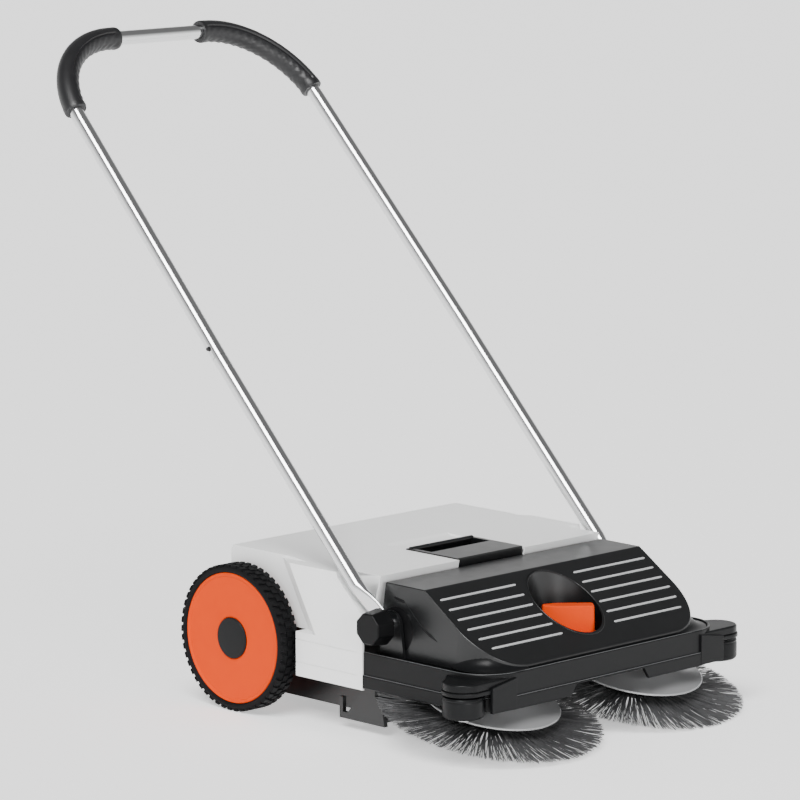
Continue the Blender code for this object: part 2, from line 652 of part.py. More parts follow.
def spigot(side):
    """The swaged end of a lower tube, which slides into the upper tube."""
    outer = TUBE_R - TUBE_WALL - 0.4 * MM
    route = [on_handle(side * leg_x(s), s) for s in (SEAM_AT - 0.0050, SEAM_AT + 0.0400)]
    root = [on_handle(side * HANDLE_X, s) for s in (SEAM_AT - 0.0060, SEAM_AT - 0.0010)]
    return joined(tube(route, outer, TUBE_WALL), tube(root, outer + 0.9 * MM, 1.6 * MM))


def lower_tube(label, side):
    """A lower handle tube with a flattened end on the pivot bolt."""
    x = side * HANDLE_X
    leg = tube([on_handle(x, 0.0330), on_handle(x, SEAM_AT)], TUBE_R, TUBE_WALL)
    eye = arc(0.0, 0.0, 0.0120, 90, 270, 10)
    outline = eye + [(0.0400, -0.0110), (0.0440, -0.0060), (0.0440, 0.0060), (0.0400, 0.0110)]
    lows = sorted((side * 0.2120, side * 0.2160))
    tongue = prism(outline, lows[0], lows[1], "YZ")
    lean = Matrix.Rotation(HANDLE_RISE, 4, "X")
    tongue.matrix_world = Matrix.Translation(PIVOT) @ lean @ tongue.matrix_world
    leg = joined(leg, baked(tongue))
    end = rod(on_handle(x, 0.0310), on_handle(x, 0.0440), TUBE_R - 0.4 * MM, sides=16)
    leg = joined(leg, end, spigot(side))
    at = on_handle(x, SEAM_AT + BUTTON_UP)
    leg = cut(leg, rod(at, at + Vector((side * 0.02, 0, 0)), 3.4 * MM, sides=16))
    hole = rod((side * 0.20, PIVOT.y, PIVOT.z), (side * 0.23, PIVOT.y, PIVOT.z), 4.3 * MM)
    return dressed(cut(leg, hole), f"lower_tube_{label}", "polished_tube")


def loop_route(from_along, to_x):
    """The handle loop's centre line on the right, from a height up the leg to a place across."""
    bend = arc(LEG_TOP_X - BEND_R, TOP_AT - BEND_R, BEND_R, 0, 90, 8)
    return [(leg_x(from_along), from_along)] + bend + [(to_x, TOP_AT)]


def upper_tube():
    """The upper handle tube: two legs, two wide bends and a cross bar."""
    right = loop_route(SEAM_AT + GAP, 0.0)[:-1]
    left = [(-x, s) for x, s in reversed(right)]
    loop = tube([on_handle(x, s) for x, s in right + left], TUBE_R, TUBE_WALL)
    for _, side in SIDES:
        at = on_handle(side * HANDLE_X, SEAM_AT + BUTTON_UP)
        loop = cut(loop, rod(at, at + Vector((side * 0.02, 0, 0)), 3.4 * MM, sides=16))
    return dressed(loop, "upper_tube", "polished_tube")


def grip(label, side):
    """A foam grip over one bend of the handle, cut off square at its lower end."""
    leg_end = TOP_AT - BEND_R
    route = [on_handle(side * x, s) for x, s in loop_route(leg_end - 1 * MM, 0.0750)]
    sleeve = tube(route, 0.0145, 0.0145 - TUBE_R - GAP)
    low = on_handle(side * LEG_TOP_X, leg_end - 10 * MM)
    sleeve = cut(sleeve, rod(low, on_handle(side * LEG_TOP_X, GRIP_FROM), 0.0250, sides=24))
    return dressed(sleeve, f"grip_{label}", "foam_grip")


def snap_button(label, side):
    """The sprung button that locks a tube seam."""
    at = on_handle(side * HANDLE_X, SEAM_AT + BUTTON_UP)
    inner, outer = at + Vector((side * 0.0045, 0, 0)), at + Vector((side * 0.0120, 0, 0))
    dressed(rod(inner, outer, 3.0 * MM, 2.4 * MM, 16), f"snap_button_{label}", "black_plastic")


def clamp_knob(label, side):
    """The faceted knob that clamps a lower tube, and its bolt."""
    y, z = PIVOT.y, PIVOT.z
    near, far = side * 0.2185, side * 0.2450
    knob = rod((near, y, z), (far, y, z), 0.0235, 0.0205, 8)
    knob = baked(knob)
    bevel = knob.modifiers.new("edges", "BEVEL")
    bevel.width = 2.5 * MM
    bevel.segments = 2
    bevel.limit_method = "ANGLE"
    knob = baked(knob)
    knob = cut(knob, rod((side * 0.21, y, z), (side * 0.2340, y, z), 4.3 * MM))
    dressed(knob, f"clamp_knob_{label}", "black_plastic")
    bolt = rod((side * 0.2012, y, z), (side * 0.2330, y, z), 4.0 * MM, sides=12)
    collar = rod((side * 0.2054, y, z), (side * 0.2085, y, z), 8.0 * MM, sides=12)
    dressed(joined(bolt, collar), f"pivot_bolt_{label}", "steel")


def build():
    clear_scene()
    group = bpy.data.collections.new("push_sweeper")
    bpy.context.scene.collection.children.link(group)
    front_cover()
    front_apron()
    chassis_plate()
    dirt_ramp()
    height_adjuster()
    support_fork()
    hopper_hood()
    hopper_tray()
    grip_insert()
    upper_tube()
    for label, side in SIDES:
        side_arm(f"side_arm_{label}", side)
        brush_bearing(f"brush_bearing_{label}", side)
        drive_belt(f"drive_belt_{label}", side)
        wheel(label, side)
        brush(label, side)
        drive_shaft(label, side)
        guide_roller(label, side)
        lower_tube(label, side)
        grip(label, side)
        snap_button(label, side)
        clamp_knob(label, side)


build()
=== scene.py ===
"""The look of the push sweeper: smooth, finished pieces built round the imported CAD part."""

import json
import math
import random

import bmesh
import bpy
from mathutils import Matrix, Vector


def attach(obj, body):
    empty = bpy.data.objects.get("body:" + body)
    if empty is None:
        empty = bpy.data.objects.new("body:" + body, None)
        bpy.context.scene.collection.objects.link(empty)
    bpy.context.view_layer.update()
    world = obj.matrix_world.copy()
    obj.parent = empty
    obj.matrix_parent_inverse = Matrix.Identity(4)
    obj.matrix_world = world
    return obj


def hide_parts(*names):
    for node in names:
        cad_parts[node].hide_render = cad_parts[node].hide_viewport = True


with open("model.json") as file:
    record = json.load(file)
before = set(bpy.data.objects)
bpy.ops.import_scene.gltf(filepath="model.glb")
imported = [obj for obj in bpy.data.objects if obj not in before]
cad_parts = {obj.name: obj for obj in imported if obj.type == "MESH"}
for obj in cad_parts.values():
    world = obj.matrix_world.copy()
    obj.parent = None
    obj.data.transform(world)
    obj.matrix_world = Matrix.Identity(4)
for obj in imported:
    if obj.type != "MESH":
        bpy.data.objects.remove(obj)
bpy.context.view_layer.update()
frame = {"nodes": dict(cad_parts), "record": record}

MM = 0.001
AXLE_Y = 0.0413
AXLE_Z = 0.0947
KNOB_Y = AXLE_Y - 0.3570
PIVOT = Vector((0.0, AXLE_Y - 0.2520, 0.1458))
HANDLE_RISE = math.radians(46.2)
HANDLE_X, LEG_TOP_X, TUBE_R = 0.2200, 0.2137, 0.0095
SEAM_AT, BEND_R, TOP_AT, BUTTON_UP = 0.4200, 0.1280, 0.9390, 0.0150
EDGE_Y, EDGE_Z, SLOPE = AXLE_Y - 0.3035, 0.1955, 0.678
BRUSH_TILT = math.radians(12.5)
BRUSH_R = 0.1434
ROLLER_X, ROLLER_Y = 0.2320, AXLE_Y - 0.4050
SIDES = (("left", -1.0), ("right", 1.0))
UP_HANDLE = Vector((0.0, math.cos(HANDLE_RISE), math.sin(HANDLE_RISE)))
OFF_HANDLE = Vector((0.0, -math.sin(HANDLE_RISE), math.cos(HANDLE_RISE)))


# Finishes

def grained(name, dark, light, rough, metal=0.0, grain=0.0, scale=60.0, fine=900.0, shine=0.5):
    """A finish whose colour and roughness drift a little, with a fine surface grain."""
    made = bpy.data.materials.new(name)
    made.use_nodes = True
    nodes, links = made.node_tree.nodes, made.node_tree.links
    shader = nodes["Principled BSDF"]
    shader.inputs["Metallic"].default_value = metal
    shader.inputs["Specular IOR Level"].default_value = shine
    place = nodes.new("ShaderNodeTexCoord")
    cloud = nodes.new("ShaderNodeTexNoise")
    cloud.inputs["Scale"].default_value = scale
    cloud.inputs["Detail"].default_value = 4.0
    links.new(place.outputs["Object"], cloud.inputs["Vector"])
    tint = nodes.new("ShaderNodeMix")
    tint.data_type = "RGBA"
    tint.inputs["A"].default_value = (*dark, 1.0)
    tint.inputs["B"].default_value = (*light, 1.0)
    links.new(cloud.outputs["Fac"], tint.inputs["Factor"])
    links.new(tint.outputs["Result"], shader.inputs["Base Color"])
    wear = nodes.new("ShaderNodeMapRange")
    wear.inputs["To Min"].default_value = rough * 0.88
    wear.inputs["To Max"].default_value = rough * 1.12
    links.new(cloud.outputs["Fac"], wear.inputs["Value"])
    links.new(wear.outputs["Result"], shader.inputs["Roughness"])
    speck = nodes.new("ShaderNodeTexNoise")
    speck.inputs["Scale"].default_value = fine
    speck.inputs["Detail"].default_value = 2.0
    links.new(place.outputs["Object"], speck.inputs["Vector"])
    bump = nodes.new("ShaderNodeBump")
    bump.inputs["Strength"].default_value = grain
    bump.inputs["Distance"].default_value = 0.0003
    links.new(speck.outputs["Fac"], bump.inputs["Height"])
    links.new(bump.outputs["Normal"], shader.inputs["Normal"])
    return made


BLACK = grained("satin_black", (0.0038, 0.0041, 0.0045), (0.0056, 0.0060, 0.0064), 0.30, grain=0.06)
# Painted shade: a darker, duller black put on the side seam and the recess floors, standing in for the shade
# inside them.
PAINTED_SHADE = grained("painted_shade_black", (0.003, 0.003, 0.0035), (0.005, 0.005, 0.0055), 0.50, shine=0.2)
WHITE = grained("hood_white", (0.86, 0.865, 0.86), (0.89, 0.895, 0.89), 0.36, grain=0.02, scale=25.0)
ORANGE = grained("orange", (0.62, 0.043, 0.0), (0.66, 0.050, 0.0), 0.55, grain=0.05, shine=0.06)
CAP = grained("cap_grey", (0.008, 0.0085, 0.009), (0.011, 0.0115, 0.012), 0.50, grain=0.10, shine=0.12)
BAND = grained("band_black", (0.0045, 0.0048, 0.0052), (0.0065, 0.0068, 0.0072), 0.34, grain=0.08, shine=0.15)
# Painted highlight: a grey for thin beads along the black apron's edges, standing in for the light those
# edges catch.
PAINTED_HIGHLIGHT = grained("painted_highlight_edge", (0.055, 0.057, 0.059), (0.075, 0.077, 0.079), 0.36, shine=0.4)
KNOB = grained("knob_black", (0.0025, 0.0026, 0.0028), (0.0036, 0.0037, 0.0040), 0.40, grain=0.08, shine=0.15)
TYRE = grained("tyre_black", (0.0035, 0.0035, 0.004), (0.0055, 0.0055, 0.006), 0.60, grain=0.30, shine=0.1)
BELT = grained("belt_black", (0.012, 0.012, 0.012), (0.018, 0.018, 0.018), 0.70, grain=0.20)
BRISTLE = grained("bristle_black", (0.004, 0.004, 0.005), (0.110, 0.111, 0.114), 0.36, scale=300.0, shine=0.8)
STEEL = grained("zinc_steel", (0.55, 0.55, 0.56), (0.64, 0.64, 0.65), 0.30, metal=1.0, grain=0.05)
CHROME = grained("polished_tube", (0.72, 0.725, 0.73), (0.78, 0.785, 0.79), 0.14, metal=1.0, scale=30.0)
DISH = grained("dish_grey", (0.50, 0.505, 0.51), (0.54, 0.545, 0.55), 0.24, metal=0.6, scale=8.0)
GRIP = grained("grip_black", (0.006, 0.006, 0.007), (0.010, 0.010, 0.011), 0.42, grain=0.30, fine=600.0)
RIB = grained("rib_grey", (0.34, 0.345, 0.35), (0.42, 0.425, 0.43), 0.34)

SLOT_FINISH = {
    "black_plastic": BLACK, "white_plastic": WHITE, "orange_plastic": ORANGE, "rubber": BELT,
    "tyre_rubber": TYRE, "bristle": BRISTLE, "steel": STEEL, "polished_tube": CHROME,
    "dish_grey": DISH, "foam_grip": GRIP}


# Building blocks

def link(obj):
    bpy.context.scene.collection.objects.link(obj)
    return obj


def from_bmesh(name, bm):
    bmesh.ops.recalc_face_normals(bm, faces=bm.faces)
    mesh = bpy.data.meshes.new(name)
    bm.to_mesh(mesh)
    bm.free()
    return link(bpy.data.objects.new(name, mesh))


def baked(obj):
    """The same object with its modifiers made part of its mesh."""
    bpy.context.view_layer.update()
    graph = bpy.context.evaluated_depsgraph_get()
    mesh = bpy.data.meshes.new_from_object(obj.evaluated_get(graph))
    mesh.transform(obj.matrix_world)
    bpy.data.objects.remove(obj)
    return link(bpy.data.objects.new("baked", mesh))


def combine(obj, tools, operation):
    for tool in tools:
        change = obj.modifiers.new("change", "BOOLEAN")
        change.operation = operation
        change.object = tool
        change.solver = "EXACT"
        obj = baked(obj)
        bpy.data.objects.remove(tool)
    return obj


def joined(obj, *tools):
    return combine(obj, tools, "UNION")


def cut(obj, *tools):
    return combine(obj, tools, "DIFFERENCE")


def common(obj, *tools):
    return combine(obj, tools, "INTERSECT")


def rounded(obj, width, segments=3, angle=28.0):
    """Rounds every edge sharper than an angle."""
    soft = obj.modifiers.new("soft", "BEVEL")
    soft.width = width
    soft.segments = segments
    soft.limit_method = "ANGLE"
    soft.angle_limit = math.radians(angle)
    soft.harden_normals = False
    return baked(obj)


def shown(obj, name, finish, body, nodes=(), angle=40.0):
    """Names a finished piece, dresses it and lets it ride on its CAD body."""
    obj.name = name
    obj.data.name = name
    obj.data.materials.clear()
    obj.data.materials.append(finish)
    for polygon in obj.data.polygons:
        polygon.material_index = 0
    obj.data.shade_smooth()
    obj.data.set_sharp_from_angle(angle=math.radians(angle))
    level = obj.modifiers.new("level", "WEIGHTED_NORMAL")
    level.keep_sharp = True
    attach(obj, body)
    if nodes:
        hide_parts(*nodes)
    return obj


def loft(sections):
    """A closed solid through sections of equal point counts, in order."""
    bm = bmesh.new()
    rings = [[bm.verts.new(point) for point in section] for section in sections]
    bm.faces.new(rings[0])
    bm.faces.new(rings[-1])
    for near, far in zip(rings, rings[1:]):
        for i in range(len(near)):
            j = (i + 1) % len(near)
            bm.faces.new((near[i], near[j], far[j], far[i]))
    return from_bmesh("loft", bm)


def prism(outline, low, high, plane="XY"):
    """A flat outline pushed between two heights, in XY along Z, YZ along X or XZ along Y."""
    places = {
        "XY": lambda a, b, h: (a, b, h),
        "YZ": lambda a, b, h: (h, a, b),
        "XZ": lambda a, b, h: (a, h, b)}
    place = places[plane]
    return loft([[place(a, b, h) for a, b in outline] for h in (low, high)])


def block(low, high):
    (x0, y0, z0), (x1, y1, z1) = low, high
    return prism([(x0, y0), (x1, y0), (x1, y1), (x0, y1)], z0, z1)


def across(x_low, x_high, y_low, y_high, z_low, z_high, side):
    xs = sorted((side * x_low, side * x_high))
    return block((xs[0], y_low, z_low), (xs[1], y_high, z_high))


def circle(centre, axis, radius, sides, start=0.0):
    """Points on a circle about an axis."""
    turn = Vector(axis).to_track_quat("Z", "X")
    points = []
    for i in range(sides):
        a = start + math.tau * i / sides
        points.append(Vector(centre) + turn @ Vector((radius * math.cos(a), radius * math.sin(a), 0)))
    return points


def rod(start, end, radius, radius_end=None, sides=48):
    start, end = Vector(start), Vector(end)
    last = radius if radius_end is None else radius_end
    return loft([circle(start, end - start, radius, sides), circle(end, end - start, last, sides)])


def turned(profile, centre, axis, sides=96, closed=False):
    """A solid turned from (radius, height) points; closed wraps the profile into a ring."""
    turn = Vector(axis).to_track_quat("Z", "X")
    bm = bmesh.new()
    rings = []
    for radius, height in profile:
        if radius < 1e-7:
            rings.append([bm.verts.new(Vector(centre) + turn @ Vector((0, 0, height)))])
            continue
        ring = []
        for i in range(sides):
            a = math.tau * i / sides
            spot = Vector((radius * math.cos(a), radius * math.sin(a), height))
            ring.append(bm.verts.new(Vector(centre) + turn @ spot))
        rings.append(ring)
    pairs = list(zip(rings, rings[1:]))
    if closed:
        pairs.append((rings[-1], rings[0]))
    for near, far in pairs:
        for i in range(sides):
            j = (i + 1) % sides
            corners = [near[i % len(near)], near[j % len(near)], far[j % len(far)], far[i % len(far)]]
            kept = [v for k, v in enumerate(corners) if v not in corners[:k]]
            if len(kept) > 2:
                bm.faces.new(kept)
    return from_bmesh("turned", bm)


def swept(route, radius_at, normal, sides=32, wall=None):
    """A tube along a flat route. radius_at(step, share, angle) gives its radius; angle 0 is
    sideways in the route's plane and a quarter turn is along the normal."""
    rings, inner = [], []
    count = len(route)
    for k, point in enumerate(route):
        along = (route[min(k + 1, count - 1)] - route[max(k - 1, 0)]).normalized()
        aside = along.cross(normal).normalized()
        ring, inside = [], []
        for i in range(sides):
            a = math.tau * i / sides
            ray = aside * math.cos(a) + normal * math.sin(a)
            radius = radius_at(k, k / (count - 1), a)
            ring.append(point + ray * radius)
            inside.append(point + ray * (wall if wall else 0.0))
        rings.append(ring)
        inner.append(inside)
    if wall is None:
        return loft(rings)
    bm = bmesh.new()
    shells = [[[bm.verts.new(p) for p in ring] for ring in shell] for shell in (rings, inner)]
    for shell in shells:
        for near, far in zip(shell, shell[1:]):
            for i in range(sides):
                j = (i + 1) % sides
                bm.faces.new((near[i], near[j], far[j], far[i]))
    for end in (0, -1):
        for i in range(sides):
            j = (i + 1) % sides
            bm.faces.new((shells[0][end][i], shells[0][end][j], shells[1][end][j], shells[1][end][i]))
    return from_bmesh("swept", bm)


def arc(cx, cy, radius, start, end, steps=12):
    angles = [math.radians(start + (end - start) * i / steps) for i in range(steps + 1)]
    return [(cx + radius * math.cos(a), cy + radius * math.sin(a)) for a in angles]


def front_rounded(half, front, back, radius, steps=16):
    left = arc(-half + radius, front + radius, radius, 180, 270, steps)
    right = arc(half - radius, front + radius, radius, 270, 360, steps)
    return [(-half, back)] + left + right + [(half, back)]


# Front cover

def cover_height(y):
    """The height of the cover's outer surface along its middle."""
    return min(EDGE_Z, EDGE_Z + (y - EDGE_Y) * SLOPE)


def cover_solid(inset):
    t = inset
    side = [
        (AXLE_Y - 0.2250 - t, 0.1046 - 2 * t), (AXLE_Y - 0.2360 - t, 0.1960 - t),
        (EDGE_Y + 0.3 * t, EDGE_Z - t), (AXLE_Y - 0.4230 + 0.8 * t, 0.1145 - 0.9 * t),
        (AXLE_Y - 0.4250 + t, 0.1120 - t), (AXLE_Y - 0.4250 + t, 0.1046 - 2 * t)]
    outline = front_rounded(0.2000 - t, AXLE_Y - 0.4250 + t, AXLE_Y - 0.2200, 0.0650 - t)
    solid = common(prism(side, -0.23, 0.23, "YZ"), prism(outline, 0.09, 0.21))
    for vertex in solid.data.vertices:
        vertex.co.x *= 1.0 - 0.18 * max(0.0, vertex.co.z - 0.112)
    return solid


def front_cover():
    outer = rounded(cover_solid(0.0), 1.6 * MM, 3, 24.0)
    shell = cut(outer, cover_solid(3.0 * MM))
    low, high = Vector((0.0, KNOB_Y, 0.1120)), Vector((0.0, KNOB_Y, 0.2100))
    cup = common(rod(low, high, 0.0500, sides=96), cover_solid(0.4 * MM))
    shell = joined(shell, cup)
    shell = cut(shell, rod((0, KNOB_Y, 0.1160), high, 0.0445, 0.0510, 96))
    shell = cut(shell, rod((0, KNOB_Y, 0.1050), high, 5.3 * MM))
    for _, side in SIDES:
        shell = cut(shell, across(0.17, 0.196, AXLE_Y - 0.25, AXLE_Y - 0.218, 0.09, 0.14, side))
        shell = cut(shell, rod(
            (side * 0.1975, PIVOT.y - 0.004, 0.1390), (side * 0.2100, PIVOT.y - 0.004, 0.1390),
            0.0290, 0.0330, 64))
    shown(shell, "cover_shell", BLACK, "chassis", ["front_cover"], 32.0)


def bowl_rim():
    """The thin raised lip where the knob's bowl meets the cover."""
    route = []
    for i in range(96):
        a = math.tau * i / 96
        x, y = 0.0482 * math.cos(a), KNOB_Y + 0.0482 * math.sin(a)
        route.append(Vector((x, y, cover_height(y) - 0.2 * MM)))
    bm = bmesh.new()
    rings = []
    for k, point in enumerate(route):
        along = (route[(k + 1) % 96] - route[k - 1]).normalized()
        out = Vector((point.x, point.y - KNOB_Y, 0.0)).normalized()
        upward = out.cross(along).normalized()
        ring = []
        for i in range(10):
            a = math.tau * i / 10
            ring.append(bm.verts.new(point + (out * math.cos(a) + upward * math.sin(a)) * 0.9 * MM))
        rings.append(ring)
    for k in range(96):
        near, far = rings[k - 1], rings[k]
        for i in range(10):
            j = (i + 1) % 10
            bm.faces.new((near[i], near[j], far[j], far[i]))
    rim = from_bmesh("rim", bm)
    shown(rim, "cover_bowl_rim", BLACK, "chassis")


def cover_ribs():
    """Six slim raised ribs on each side of the bowl."""
    for label, side in SIDES:
        for row in range(6):
            y = AXLE_Y - 0.3208 - row * 0.0150
            z = cover_height(y) + 0.1 * MM
            inner = (0.0530, 0.0535, 0.0535, 0.0525, 0.0500, 0.0475)[row]
            outer = 0.1866 - (0.0 if row < 3 else (row - 2) ** 2 * 0.0015)
            ends = (side * inner, side * outer)
            shares = (0.0, 0.006, 0.02, 0.98, 0.994, 1.0)
            sizes = (0.35, 0.8, 1.0, 1.0, 0.8, 0.35)
            route = [Vector((ends[0] + (ends[1] - ends[0]) * s, y, z)) for s in shares]
            normal = Vector((0.0, -SLOPE, 1.0)).normalized()
            rib = swept(route, lambda k, s, a, w=sizes: 1.55 * MM * w[k], normal, 16)
            shown(rib, f"cover_rib_{label}_{row + 1}", RIB, "chassis")


def cover_side_marks():
    """Painted shade on each side of the cover: a dark tube, thick at both ends, laid along the thin seam, and
    a dark disc on the floor of the small recess, both standing in for the shade inside them.
    """
    for label, side in SIDES:
        spots = [(-0.2530, 0.1790), (-0.2675, 0.1764), (-0.2715, 0.1745), (-0.2990, 0.1505),
                 (-0.3030, 0.1470), (-0.3160, 0.1405), (-0.3280, 0.1350)]
        sizes = [1.4, 1.8, 0.45, 0.45, 1.2, 1.8, 0.3]
        route = []
        for y, z in spots:
            x = 0.2000 * (1.0 - 0.18 * (z - 0.112)) - 0.1 * MM
            route.append(Vector((side * x, AXLE_Y + y, z)))
        # Painted shade: the dark tube stands in for the shade in the seam.
        seam_shade = swept(route, lambda k, s, a: sizes[k] * MM, Vector((side, 0, 0)), 12)
        shown(seam_shade, f"cover_seam_painted_shade_{label}", PAINTED_SHADE, "chassis")
        # Painted shade: a dark disc on the recess floor stands in for the shade inside the recess.
        place = (PIVOT.y - 0.004, 0.1390)
        dark = rod((side * 0.1971, *place), (side * 0.1979, *place), 0.0288, sides=64)
        shown(dark, f"cover_recess_painted_shade_{label}", PAINTED_SHADE, "chassis")


def cover_skirt():
    """The hollow flare that runs from each front corner of the cover onto the apron."""
    for label, side in SIDES:
        sections = []
        for k in range(29):
            share = k / 28
            a = math.radians(175 + 92 * share)
            ray = Vector((-side * math.cos(a), math.sin(a), 0.0))
            centre = Vector((side * 0.1350, AXLE_Y - 0.3600, 0.0))
            weight = max(0.03, math.sin(math.pi * share)) ** 0.7
            rim = centre + ray * 0.0650
            rise = min(0.0180 * weight, cover_height(rim.y) - 0.1105)
            section = [centre + ray * 0.0600 + Vector((0, 0, 0.1091 + rise))]
            for i in range(9):
                b = math.pi / 2 * i / 8
                out = 0.0642 + 0.0205 * weight * (1 - math.cos(b))
                height = 0.1091 + rise * (1 - math.sin(b))
                section.append(centre + ray * out + Vector((0, 0, height)))
            section.append(centre + ray * 0.0600 + Vector((0, 0, 0.1091)))
            sections.append(section)
        skirt = loft(sections)
        shown(skirt, f"cover_skirt_{label}", BAND, "chassis", angle=50.0)


# Apron, ears and guide rollers

def apron_band():
    """The two-step band round the front, swept from its cross-section."""
    steps = [
        (-0.0035, 0.0630), (0.0002, 0.0630), (0.0014, 0.0642), (0.0014, 0.0786), (0.0006, 0.0796),
        (-0.0008, 0.0800), (-0.0008, 0.1078), (-0.0016, 0.1090), (-0.0035, 0.1090)]
    paths = []
    for out, z in steps:
        outline = front_rounded(
            0.2220 + out, AXLE_Y - 0.4330 - out, AXLE_Y - 0.2220, 0.0550 + out, 16)
        paths.append([Vector((x, y, z)) for x, y in outline])
    sections = [[path[k] for path in paths] for k in range(len(paths[0]))]
    return loft(sections)


def ear_plan(side, grow):
    """The ear's outline from above: round over the roller, running into the band."""
    x, y, r = side * ROLLER_X, ROLLER_Y, 0.0272 + grow
    if side < 0:
        outline = arc(x, y, r, 110, 275, 24)
        return outline + [(-0.1760, AXLE_Y - 0.4325 - grow), (-0.1760, AXLE_Y - 0.4250),
                          (-0.2150, AXLE_Y - 0.3600)]
    outline = arc(x, y, r, -95, 70, 24)
    return outline + [(0.2150, AXLE_Y - 0.3600), (0.1760, AXLE_Y - 0.4250),
                      (0.1760, AXLE_Y - 0.4325 - grow)]


def front_apron():
    band = apron_band()
    notch = [(-0.0620, 0.0775), (0.0620, 0.0775), (0.0740, 0.0600), (-0.0740, 0.0600)]
    band = cut(band, prism(notch, AXLE_Y - 0.4500, AXLE_Y - 0.4200, "XZ"))
    for _, side in SIDES:
        x = side * ROLLER_X
        band = cut(band, rod((x, ROLLER_Y, 0.0400), (x, ROLLER_Y, 0.0882), 0.0285, sides=64))
        ear = joined(
            rounded(prism(ear_plan(side, 0.0), 0.0882, 0.0935), 1.2 * MM, 2),
            rounded(prism(ear_plan(side, -0.0014), 0.0930, 0.1040), 2.4 * MM, 3))
        plate = [(side * 0.2120, 0.0640), (side * 0.1690, 0.0640), (side * 0.1690, 0.1030),
                 (side * 0.2120, 0.0960)]
        web = rounded(prism(plate, AXLE_Y - 0.4350, AXLE_Y - 0.4304, "XZ"), 0.8 * MM, 2)
        room = front_rounded(0.2195, AXLE_Y - 0.4305, AXLE_Y - 0.2, 0.0525)
        ear = cut(ear, prism(room, 0.05, 0.12))
        ear = cut(ear, rod((x, ROLLER_Y, 0.0760), (x, ROLLER_Y, 0.0960), 4.3 * MM))
        band = joined(joined(band, web), ear)
    shown(band, "apron_band", BAND, "chassis", ["front_apron"], 32.0)
    # Painted highlight: thin grey beads along the apron's step and top edge draw the light lines those edges
    # catch.
    for place, (out, z, thick) in {"step": (0.0004, 0.0799, 0.6), "top": (-0.0016, 0.1090, 0.5)}.items():
        path = front_rounded(0.2220 + out, AXLE_Y - 0.4330 - out, AXLE_Y - 0.2222, 0.0550 + out, 24)
        route = [Vector((x, y, z)) for x, y in path]
        highlight_bead = swept(route, lambda k, s, a, w=thick: w * MM, Vector((0, 0, 1)), 10)
        shown(highlight_bead, f"apron_{place}_edge", PAINTED_HIGHLIGHT, "chassis")


def guide_roller(label, side):
    profile = [
        (4.3, 59.0), (20.0, 59.0), (23.5, 59.5), (25.6, 61.4), (26.3, 64.0), (26.3, 80.0),
        (25.5, 82.0), (26.1, 83.6), (25.2, 85.6), (4.3, 86.0)]
    points = [(r * MM, h * MM) for r, h in profile]
    roller = turned(points, (side * ROLLER_X, ROLLER_Y, 0.0), (0, 0, 1), 72, True)
    shown(roller, f"corner_roller_{label}", BAND, f"guide_roller_{label}",
          [f"guide_roller_{label}"], 30.0)


# Hood and grip insert

def hood_side(out):
    """The hood's wide front seen from the side; out moves its rear slope for the blend."""
    y = AXLE_Y
    return [
        (y - 0.2205, 0.0600), (y - 0.2205, 0.1540), (y - 0.1760, 0.1960), (y - 0.1740, 0.2030),
        (y - 0.0890 + out, 0.2030), (y - 0.1370 + out, 0.1170), (y - 0.1010, 0.1170),
        (y - 0.1010, 0.0600)]


def hopper_hood():
    y = AXLE_Y
    rear = prism(
        [(y - 0.1200, 0.1165), (y - 0.0500, 0.1165), (y - 0.0500, 0.1416), (y + 0.0400, 0.1416),
         (y + 0.0375, 0.2020), (y + 0.0345, 0.2062), (y - 0.0700, 0.2062), (y - 0.1050, 0.2030),
         (y - 0.1200, 0.2030)], -0.2030, 0.2030, "YZ")
    wide = []
    for x, out in ((-0.2220, 0.0), (-0.2030, 0.0320), (0.2030, 0.0320), (0.2220, 0.0)):
        wide.append([(x, a, b) for a, b in hood_side(out)])
    deck = prism(
        [(y - 0.2180, 0.1500), (y - 0.2300, 0.2030), (y - 0.0900, 0.2031), (y - 0.0900, 0.1500)],
        -0.1990, 0.1990, "YZ")
    hood = rounded(joined(rear, loft(wide), deck), 4.0 * MM, 4, 26.0)
    for _, side in SIDES:
        for z in (0.1065, 0.0775):
            hood = cut(hood, across(0.2212, 0.2240, y - 0.2100, y - 0.0900, z, z + 1.1 * MM, side))
    rooms = [block((-0.2000, y - 0.0850, 0.1200), (0.2000, y + 0.0340, 0.2030)),
             block((-0.1993, y - 0.1600, 0.1210), (0.1993, y - 0.0840, 0.1986)),
             prism([(y - 0.2210, 0.0500), (y - 0.2210, 0.1490), (y - 0.1744, 0.1925),
                    (y - 0.1712, 0.2000), (y - 0.0941, 0.2000), (y - 0.1421, 0.1140),
                    (y - 0.1040, 0.1140), (y - 0.1040, 0.0500)], -0.2190, 0.2190, "YZ"),
             prism([(y - 0.2148, 0.1400), (y - 0.2270, 0.2000), (y - 0.0900, 0.2000),
                    (y - 0.0900, 0.1400)], -0.1960, 0.1960, "YZ"),
             block((-0.2190, y - 0.2300, 0.0500), (0.2190, y - 0.1600, 0.1490)),
             block((-0.1985, y - 0.2120, 0.0450), (0.1985, y - 0.0450, 0.1414)),
             block((-0.0600, y - 0.2340, 0.1900), (0.0600, y - 0.1330, 0.2200))]
    hood = cut(hood, *rooms)
    scoop = rod((-0.0560, y - 0.1120, 0.2560), (0.0560, y - 0.1120, 0.2560), 0.0552, sides=96)
    hood = cut(hood, scoop)
    shown(hood, "hood_shell", WHITE, "hopper", ["hopper_hood"], 30.0)


